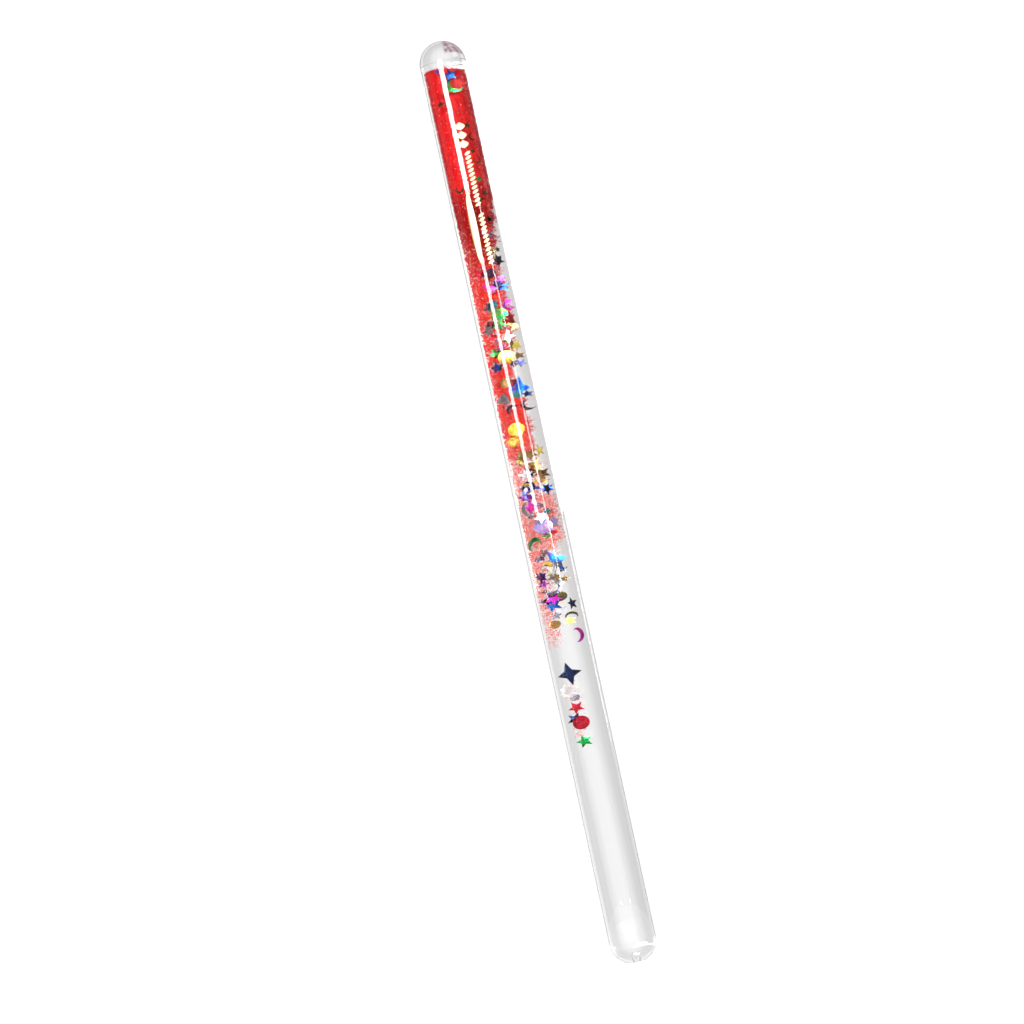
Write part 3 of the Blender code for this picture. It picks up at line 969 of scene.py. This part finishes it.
def randomTurns(rng, count):
    q = rng.normal(size=(count, 4))
    q /= np.linalg.norm(q, axis=1)[:, None]
    w, x, y, z = q.T
    return np.stack([
        np.stack([1 - 2 * (y * y + z * z), 2 * (x * y - z * w), 2 * (x * z + y * w)], 1),
        np.stack([2 * (x * y + z * w), 1 - 2 * (x * x + z * z), 2 * (y * z - x * w)], 1),
        np.stack([2 * (x * z - y * w), 2 * (y * z + x * w), 1 - 2 * (x * x + y * y)], 1)], 1)


def awayFromFoils(points, rng):
    # flakes in a foil's lane go, and so do nearly all of those that would lie in front of it
    keep = np.ones(len(points), bool)
    stay = rng.random(len(points)) < 0.12
    for middle, halfWidth, halfHeight, turn in foilList:
        near = np.abs(points[:, 2] - middle[2]) < halfHeight + 0.3
        e = np.array([math.cos(turn), math.sin(turn), 0])
        n = np.array([math.sin(turn), -math.cos(turn), 0])
        off = points - middle
        step = -(off @ n) / n[1]
        side = off @ e + step * e[1]
        share = (side / (halfWidth + 0.1)) ** 2 + (off[:, 2] / (halfHeight + 0.1)) ** 2
        inside = near & (share < 1)
        close = np.abs(off @ n) < 0.55
        keep &= ~(inside & close)
        keep &= ~(inside & (step > 0) & (share < 0.75) & ~stay)
    return keep


def scatter(number, low, high, count, rng):
    found, total = [], 0
    edge = glitterLook["edge"]
    while total < count:
        n = count * 3
        height = rng.uniform(low, high, n)
        inner = coreRadius(height) - 0.15 if number <= 3 else 0.0
        radius = np.sqrt(inner ** 2 + (edge ** 2 - inner ** 2) * rng.random(n))
        angle = rng.uniform(0, 2 * math.pi, n)
        points = np.stack([radius * np.cos(angle), radius * np.sin(angle), height], 1)
        rightEdge = along(redEdge, points[:, 2]) * edge
        wobble = 0.35 * np.sin(points[:, 2] * 1.9 + points[:, 1]) + 0.25 * np.sin(points[:, 2] * 0.83)
        soft = 0.25 if number < 6 else 0.9
        inside = points[:, 0] < rightEdge + wobble + rng.normal(0, soft, n)
        packed = rng.random(n) < along(redFill, points[:, 2])
        clumps = np.sin(points[:, 0] * 2.3 + points[:, 2] * 1.1)
        clumps = clumps * np.sin(points[:, 1] * 2.9 - points[:, 2] * 1.7)
        if number >= 6:
            packed &= clumps > rng.uniform(-1.0, 0.6, n)
        points = points[inside & packed & (points[:, 2] < bedTop(points[:, 0]))]
        points = points[awayFromFoils(points, rng)]
        found.append(points)
        total += len(points)
        if len(points) < 10:
            break
    return np.concatenate(found)[:count]


redGlitter = redFinish()


def flakeCloud(name, points, rng, ends, bodyName, stands):
    count = len(points)
    turns = randomTurns(rng, count)
    size = rng.uniform(0.7, 1.15, count)
    shaped = np.einsum("nij,pj->npi", turns, flakePoints) * size[:, None, None]
    everything = (shaped + points[:, None, :]) * mm
    reachOut = np.linalg.norm(everything[:, :, :2], axis=2).max(1) < glitterLook["limit"] * mm
    inBand = (everything[:, :, 2].max(1) < ends[1] * mm) & (everything[:, :, 2].min(1) > ends[0] * mm)
    everything = everything[reachOut & inBand]
    count = len(everything)
    perFlake = len(flakePoints)
    faces = (flakeFaces[None] + np.arange(count)[:, None, None] * perFlake).reshape(-1, 3)
    mesh = bpy.data.meshes.new(name)
    mesh.vertices.add(count * perFlake)
    mesh.vertices.foreach_set("co", everything.reshape(-1))
    mesh.loops.add(len(faces) * 3)
    mesh.loops.foreach_set("vertex_index", faces.reshape(-1).astype(np.int32))
    mesh.polygons.add(len(faces))
    mesh.polygons.foreach_set("loop_start", np.arange(0, len(faces) * 3, 3, dtype=np.int32))
    mesh.update(calc_edges=True)
    tone = mesh.attributes.new("tone", "FLOAT", "POINT")
    tone.data.foreach_set("value", np.repeat(rng.random(count), perFlake).astype(np.float32))
    obj = bpy.data.objects.new(mesh.name, mesh)
    bpy.context.scene.collection.objects.link(obj)
    addPiece(obj, name, bodyName, [redGlitter], stands)
    print(name, count, "flakes,", len(faces), "faces")
    return obj


def makeBand(number):
    rng = np.random.default_rng(40 + number)
    low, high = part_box(f"red_glitter_{number}")
    bottom, top = low.z / mm, high.z / mm
    joins = 0.22
    bottom, top = bottom - joins * (number < 7), top + joins * (number > 1)
    points = scatter(number, bottom, top, glitterLook["counts"][number], rng)
    obj = flakeCloud(f"red_glitter_{number}_flakes", points, rng, (bottom, top), f"red_glitter_{number}",
                     [f"red_glitter_{number}"])
    (bottom + top) / 2 * mm
    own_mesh(obj)


def makeLooseFlakes():
    # a thin haze of flakes round the lowest foils
    rng = np.random.default_rng(7)
    points = np.stack([rng.normal(-1.4, 0.8, 420), rng.uniform(-2.6, 1.5, 420), rng.uniform(74, 92, 420)], 1)
    points = points[(points[:, 0] > -3.4) & (points[:, 0] < 2.0)]
    flakeCloud("loose_red_flakes", points[awayFromFoils(points, rng)], rng, (73, 93), "red_disc_1", [])


def makeCore(number):
    low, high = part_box(f"red_glitter_{number}")
    bottom, top = low.z / mm - 0.19, high.z / mm + 0.19
    r = glitterLook["bedCore"] - 0.02
    if number == 1:
        top -= 0.3
    profile = [(0, bottom), (r - 0.1, bottom), (r, bottom + 0.1)]
    steps = 12
    profile += [(r, bottom + (top - bottom) * n / steps) for n in range(1, steps)]
    profile += [(r, top - 0.1), (r - 0.1, top), (0, top)]
    obj = spun(f"red_core_{number}", profile, 64)
    dice = np.random.default_rng(number)
    count = len(obj.data.vertices)
    co = np.empty(count * 3)
    obj.data.vertices.foreach_get("co", co)
    co = co.reshape(-1, 3)
    share = (1 - 0.03 * dice.random(count)) * coreRadius(co[:, 2] / mm) / glitterLook["bedCore"]
    co[:, 0] *= share
    co[:, 1] *= share
    co[:, 2] = np.minimum(co[:, 2], (bedTop(co[:, 0] / mm) - 0.25) * mm)
    limit = along(redEdge, co[:, 2] / mm) * glitterLook["edge"] * mm
    co[:, 0] = np.minimum(co[:, 0], limit - 0.5 * mm)
    for middle, halfWidth, halfHeight, turn in foilList:
        if abs(turn) > 0.1:
            continue
        inside = np.abs(co[:, 0] / mm - middle[0]) < halfWidth + 0.3
        inside &= np.abs(co[:, 2] / mm - middle[2]) < halfHeight + 1.2
        co[:, 1] = np.where(inside & (co[:, 1] / mm < middle[1] + 0.6), (middle[1] + 0.6) * mm, co[:, 1])
    obj.data.vertices.foreach_set("co", co.reshape(-1))
    obj.data.update()
    tone = obj.data.attributes.new("tone", "FLOAT", "POINT")
    tone.data.foreach_set("value", (dice.random(count) * 0.9).astype(np.float32))
    addPiece(obj, obj.name, f"red_glitter_{number}", [redGlitter])
    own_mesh(obj)


for n in range(1, 8):
    makeBand(n)
for n in range(1, 4):
    makeCore(n)
makeLooseFlakes()
print("glitter made")

for shape in cutShapes.values():
    bpy.data.objects.remove(shape)


studio = {
    "distance": 1.4,
    "tilt": -6.0,  # the camera is a little below the wand's middle
    "lean": 12.18,
    "frameHeight": 0.3298,
    "shiftRight": 0.0079,
    "shiftUp": 0.0049,
}


def makeCamera():
    centre = Vector((0, 0, 0.1525))
    tilt = math.radians(studio["tilt"])
    back = Vector((0, -math.cos(tilt), math.sin(tilt)))
    forward = -back
    right = Vector((1, 0, 0))
    up = right.cross(forward)
    lean = math.radians(studio["lean"])
    leanRight = right * math.cos(lean) - up * math.sin(lean)
    leanUp = right * math.sin(lean) + up * math.cos(lean)
    target = centre - leanRight * studio["shiftRight"] - leanUp * studio["shiftUp"]
    spot = target + back * studio["distance"]
    data = bpy.data.cameras.new("camera")
    data.sensor_width = 36
    data.lens = 36 * studio["distance"] / studio["frameHeight"]
    data.clip_start = 0.01
    cam = bpy.data.objects.new("camera", data)
    turn = Matrix((leanRight, leanUp, -forward)).transposed()
    cam.matrix_world = Matrix.Translation(spot) @ turn.to_4x4()
    bpy.context.scene.collection.objects.link(cam)
    bpy.context.scene.camera = cam


def makeLamp(name, azimuth, distance, height, width, tall, power, glossy=True, diffuse=True):
    # azimuth 0 is in front, positive to the right
    data = bpy.data.lights.new(name, "AREA")
    data.shape = "RECTANGLE"
    data.size, data.size_y = width, tall
    data.energy = power
    lamp = bpy.data.objects.new(name, data)
    a = math.radians(azimuth)
    spot = Vector((math.sin(a) * distance, -math.cos(a) * distance, height))
    toward = Vector((0, 0, height)) - spot
    lamp.rotation_mode = "QUATERNION"
    lamp.rotation_quaternion = toward.to_track_quat("-Z", "Y")
    lamp.location = spot
    lamp.visible_glossy = glossy
    lamp.visible_diffuse = diffuse
    lamp.visible_camera = False
    bpy.context.scene.collection.objects.link(lamp)
    return lamp


roomLevels = [  # brightness seen from the wand, from the camera's side to straight behind
    (0.0, 0.50), (0.53, 0.55), (0.57, 0.14), (0.66, 0.14), (0.715, 0.90),
    (0.83, 0.90), (0.86, 0.74), (0.95, 0.74), (1.0, 0.98),
]


def makeWorld():
    world = bpy.data.worlds.new("studio")
    bpy.context.scene.world = world
    f = Finish(world)
    spot = f.node("ShaderNodeTexCoord", out="Generated")
    sideways = f.node("ShaderNodeSeparateXYZ", {}, {0: spot}, "X")
    behind = f.node("ShaderNodeSeparateXYZ", {}, {0: spot}, "Y")
    upwards = f.node("ShaderNodeSeparateXYZ", {}, {0: spot}, "Z")
    levels = [(place, (level, level, level)) for place, level in roomLevels]
    room = f.ramp(behind * 0.5 + 0.5, levels)
    patchy = f.node("ShaderNodeTexNoise", {}, {"Vector": spot, "Scale": 6.0, "Detail": 2.0})
    cloth = f.ramp(patchy, [(0.40, (0.36, 0.26, 0.29)), (0.55, (0.60, 0.48, 0.52)), (0.68, (0.9, 0.8, 0.83))])
    low = f.span(upwards, -0.17, -0.08, 1.0, 0.0)
    left = f.span(sideways, -0.17, -0.08, 1.0, 0.0)
    facing = f.node("ShaderNodeTexNoise", {}, {"Vector": spot, "Scale": 4.5, "Detail": 1.0})
    front = f.ramp(facing, [(0.40, (0.05, 0.05, 0.06)), (0.52, (0.18, 0.17, 0.17)), (0.64, (0.62, 0.60, 0.58))])
    room = f.blend(f.span(behind, -0.3, 0.0, 1.0, 0.0), room, front)
    back = f.span(behind, 0.12, 0.25, 0.0, 1.0)
    room = f.blend(low * left * back, room, cloth)
    # straight through the clear glass, the camera's side of the room is as light as the far side
    through = f.node("ShaderNodeLightPath", out="Is Transmission Ray")
    mirrored = f.node("ShaderNodeLightPath", out="Glossy Depth") > 0.5
    mirrorImage = f.ramp(behind * -0.5 + 0.5, levels)
    room = f.blend(through * (1 - mirrored) * f.span(behind, -0.15, -0.05, 1.0, 0.0), room, mirrorImage)
    seen = f.node("ShaderNodeBackground", {}, {"Color": (1, 1, 1, 1), "Strength": 1.05})
    around = f.node("ShaderNodeBackground", {}, {"Color": room, "Strength": 1.0})
    camera = f.node("ShaderNodeLightPath", out="Is Camera Ray")
    both = f.node("ShaderNodeMixShader", {}, {0: camera, 1: around, 2: seen})
    f.node("ShaderNodeOutputWorld", {}, {"Surface": both})


def makeFloor():
    f = Finish("pale floor")
    grain = f.noise(40 * mm, 2, 0.5)
    colour = f.blend(f.span(grain, 0.3, 0.7, 0, 1), (0.93, 0.93, 0.93, 1), (0.95, 0.95, 0.95, 1))
    shader = f.surface(colour=colour, rough=0.9, glow=(1, 1, 1, 1), glowPower=0.72)
    dropSelection()
    bpy.ops.mesh.primitive_grid_add(x_subdivisions=8, y_subdivisions=8, size=8, location=(0, 0, -0.0005))
    floor = bpy.context.object
    floor.name = "floor"
    floor.data.materials.append(f.done(shader))
    floor.visible_transmission = False


makeCamera()
makeWorld()
makeFloor()
makeLamp("left strip", -15, 1.0, 0.375, 0.28, 0.25, 4.6)
makeLamp("left upper box", -14, 1.0, 0.50, 0.42, 0.13, 4.0)
makeLamp("right strip", 29, 1.2, 0.345, 0.15, 0.24, 1.5)
makeLamp("front fill", -42, 1.3, 0.42, 0.5, 0.6, 14, glossy=False)
makeLamp("wide fill", 20, 1.3, 0.40, 1.6, 1.0, 7, glossy=False)
makeLamp("top soft", 75, 0.9, 0.8, 0.5, 0.5, 3)
makeLamp("left low spark", -15, 1.0, 0.0165, 0.06, 0.004, 0.02)
makeLamp("right low spark", 29, 1.0, 0.0165, 0.05, 0.004, 0.016)
bpy.context.scene.view_settings.view_transform = "Standard"
print("studio made")
